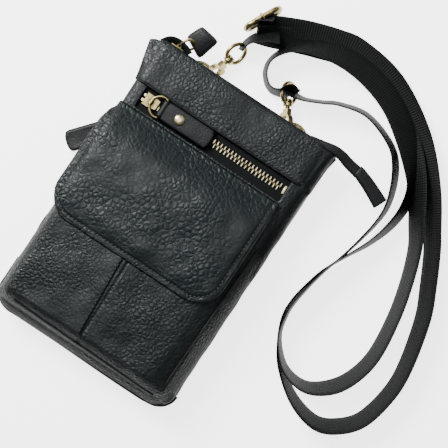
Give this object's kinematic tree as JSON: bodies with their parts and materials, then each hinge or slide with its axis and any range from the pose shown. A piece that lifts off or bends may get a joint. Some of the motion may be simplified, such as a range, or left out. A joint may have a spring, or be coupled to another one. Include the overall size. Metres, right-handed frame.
{
  "type": "neck pouch wallet",
  "caption": "Leather neck pouch with top, front and back zips, a magnetic flap pocket and a webbing strap held by swivel clasps.",
  "frame": {"origin": "centre of the pouch's back face, on the plane it rests on when it lies on its back", "axes": "+X across the pouch to its right seen from the front, +Y towards the top zip, +Z out of the front"},
  "size_m": [0.2576, 0.2525, 0.0352],
  "materials": {
    "leather": "pebbled, semi-gloss",
    "lining": "woven, matt",
    "tape": "woven, matt",
    "webbing": "ribbed nylon",
    "antique_brass": "antique",
    "pale_brass": "polished"
  },
  "bodies": {
    "pouch": {"back_panel": "leather", "gusset": "leather", "front_panel": "leather", "top_band": "leather", "main_lining": "lining", "back_pocket_lining": "lining", "front_pocket_lining": "lining", "pocket_face": "leather", "pocket_gusset": "leather", "snap_socket": "antique_brass", "front_zip_tape": "tape", "front_zip_teeth": "pale_brass", "front_zip_stops": "pale_brass", "top_zip_tape": "tape", "top_zip_teeth": "pale_brass", "top_zip_stops": "pale_brass", "top_zip_tail": "tape", "tail_end_tab": "leather", "back_zip_tape": "tape", "back_zip_teeth": "pale_brass", "back_zip_stops": "pale_brass", "keeper_left": "leather", "keeper_right": "leather", "strap_webbing": "webbing"},
    "flap": {"flap": "leather", "flap_lining": "lining", "snap_stud": "antique_brass"},
    "front_slider": {"front_zip_slider": "antique_brass"},
    "front_ring": {"front_pull_ring": "antique_brass"},
    "front_tab": {"front_pull_tab": "leather", "front_tab_rivet": "antique_brass"},
    "top_slider": {"top_zip_slider": "antique_brass"},
    "top_ring": {"top_pull_ring": "antique_brass"},
    "top_tab": {"top_pull_tab": "leather"},
    "back_slider": {"back_zip_slider": "antique_brass"},
    "back_ring": {"back_pull_ring": "antique_brass"},
    "back_tab": {"back_pull_tab": "leather", "back_tab_rivet": "antique_brass"},
    "eye_left": {"eye_left": "antique_brass", "strap_end_left": "webbing", "dring_left": "antique_brass"},
    "eye_right": {"eye_right": "antique_brass", "strap_turn_right": "webbing", "dring_right": "antique_brass"},
    "hook_left": {"hook_left": "antique_brass", "gate_pin_left": "antique_brass"},
    "hook_right": {"hook_right": "antique_brass", "gate_pin_right": "antique_brass"},
    "gate_left": {"gate_left": "antique_brass"},
    "gate_right": {"gate_right": "antique_brass"},
    "adjuster": {"adjuster_frame": "antique_brass", "strap_anchor_loop": "webbing"}
  },
  "joints": [
    {"name": "flap_hinge", "type": "hinge", "parent": "pouch", "child": "flap", "pos_m": [0, 0.05, 0.0252], "axis": [-1, 0, 0], "range_deg": [0, 120]},
    {"name": "front_zip_slide", "type": "slide", "parent": "pouch", "child": "front_slider", "axis": [1, 0, 0], "range_m": [0, 0.08]},
    {"name": "front_ring_hinge", "type": "hinge", "parent": "front_slider", "child": "front_ring", "pos_m": [-0.047, 0.0595, 0.0241], "axis": [0, 1, 0], "range_deg": [-120, 0]},
    {"name": "front_tab_hinge", "type": "hinge", "parent": "front_ring", "child": "front_tab", "pos_m": [-0.0385, 0.0595, 0.0241], "axis": [0, 1, 0], "range_deg": [-45, 0]},
    {"name": "top_zip_slide", "type": "slide", "parent": "pouch", "child": "top_slider", "axis": [1, 0, 0], "range_m": [0, 0.1]},
    {"name": "top_ring_hinge", "type": "hinge", "parent": "top_slider", "child": "top_ring", "pos_m": [-0.052, 0.09705, 0.0174], "axis": [0, 0, 1], "range_deg": [-45, 80]},
    {"name": "top_tab_hinge", "type": "hinge", "parent": "top_ring", "child": "top_tab", "pos_m": [-0.04801, 0.10455, 0.0174], "axis": [0, 0, 1], "range_deg": [-20, 30]},
    {"name": "back_zip_slide", "type": "slide", "parent": "pouch", "child": "back_slider", "axis": [1, 0, 0], "range_m": [0, 0.088]},
    {"name": "back_ring_hinge", "type": "hinge", "parent": "back_slider", "child": "back_ring", "pos_m": [-0.052, 0.0435, 0.0017], "axis": [0.766, -0.6428, 0], "range_deg": [0, 110]},
    {"name": "back_tab_hinge", "type": "hinge", "parent": "back_ring", "child": "back_tab", "pos_m": [-0.05746, 0.03699, 0.0017], "axis": [0.766, -0.6428, 0], "range_deg": [0, 45]},
    {"name": "clasp_left_swing", "type": "hinge", "parent": "pouch", "child": "eye_left", "pos_m": [-0.0335, 0.088, 0.0086], "axis": [-1, 0, 0], "range_deg": [0, 95]},
    {"name": "clasp_right_swing", "type": "hinge", "parent": "pouch", "child": "eye_right", "pos_m": [0.0345, 0.088, 0.0086], "axis": [-1, 0, 0], "range_deg": [0, 95]},
    {"name": "swivel_left", "type": "hinge", "parent": "eye_left", "child": "hook_left", "pos_m": [-0.02685, 0.09645, 0.006], "axis": [0.2756, 0.9613, 0], "range_deg": [-5, 33]},
    {"name": "swivel_right", "type": "hinge", "parent": "eye_right", "child": "hook_right", "pos_m": [0.0266, 0.0952, 0.006], "axis": [-0.4695, 0.8829, 0], "range_deg": [-28, 5]},
    {"name": "gate_left_hinge", "type": "hinge", "parent": "hook_left", "child": "gate_left", "pos_m": [-0.02377, 0.09994, 0.00254], "axis": [-0.8325, 0.2387, -0.5], "range_deg": [0, 12], "stiffness_Nm_per_rad": 0.01},
    {"name": "gate_right_hinge", "type": "hinge", "parent": "hook_right", "child": "gate_right", "pos_m": [0.02297, 0.09803, 0.00247], "axis": [-0.7796, -0.4145, 0.4695], "range_deg": [0, 12], "stiffness_Nm_per_rad": 0.01},
    {"name": "adjuster_slide", "type": "slide", "parent": "pouch", "child": "adjuster", "axis": [0.9063, 0.4226, 0], "range_m": [0, 0.012]}
  ]
}
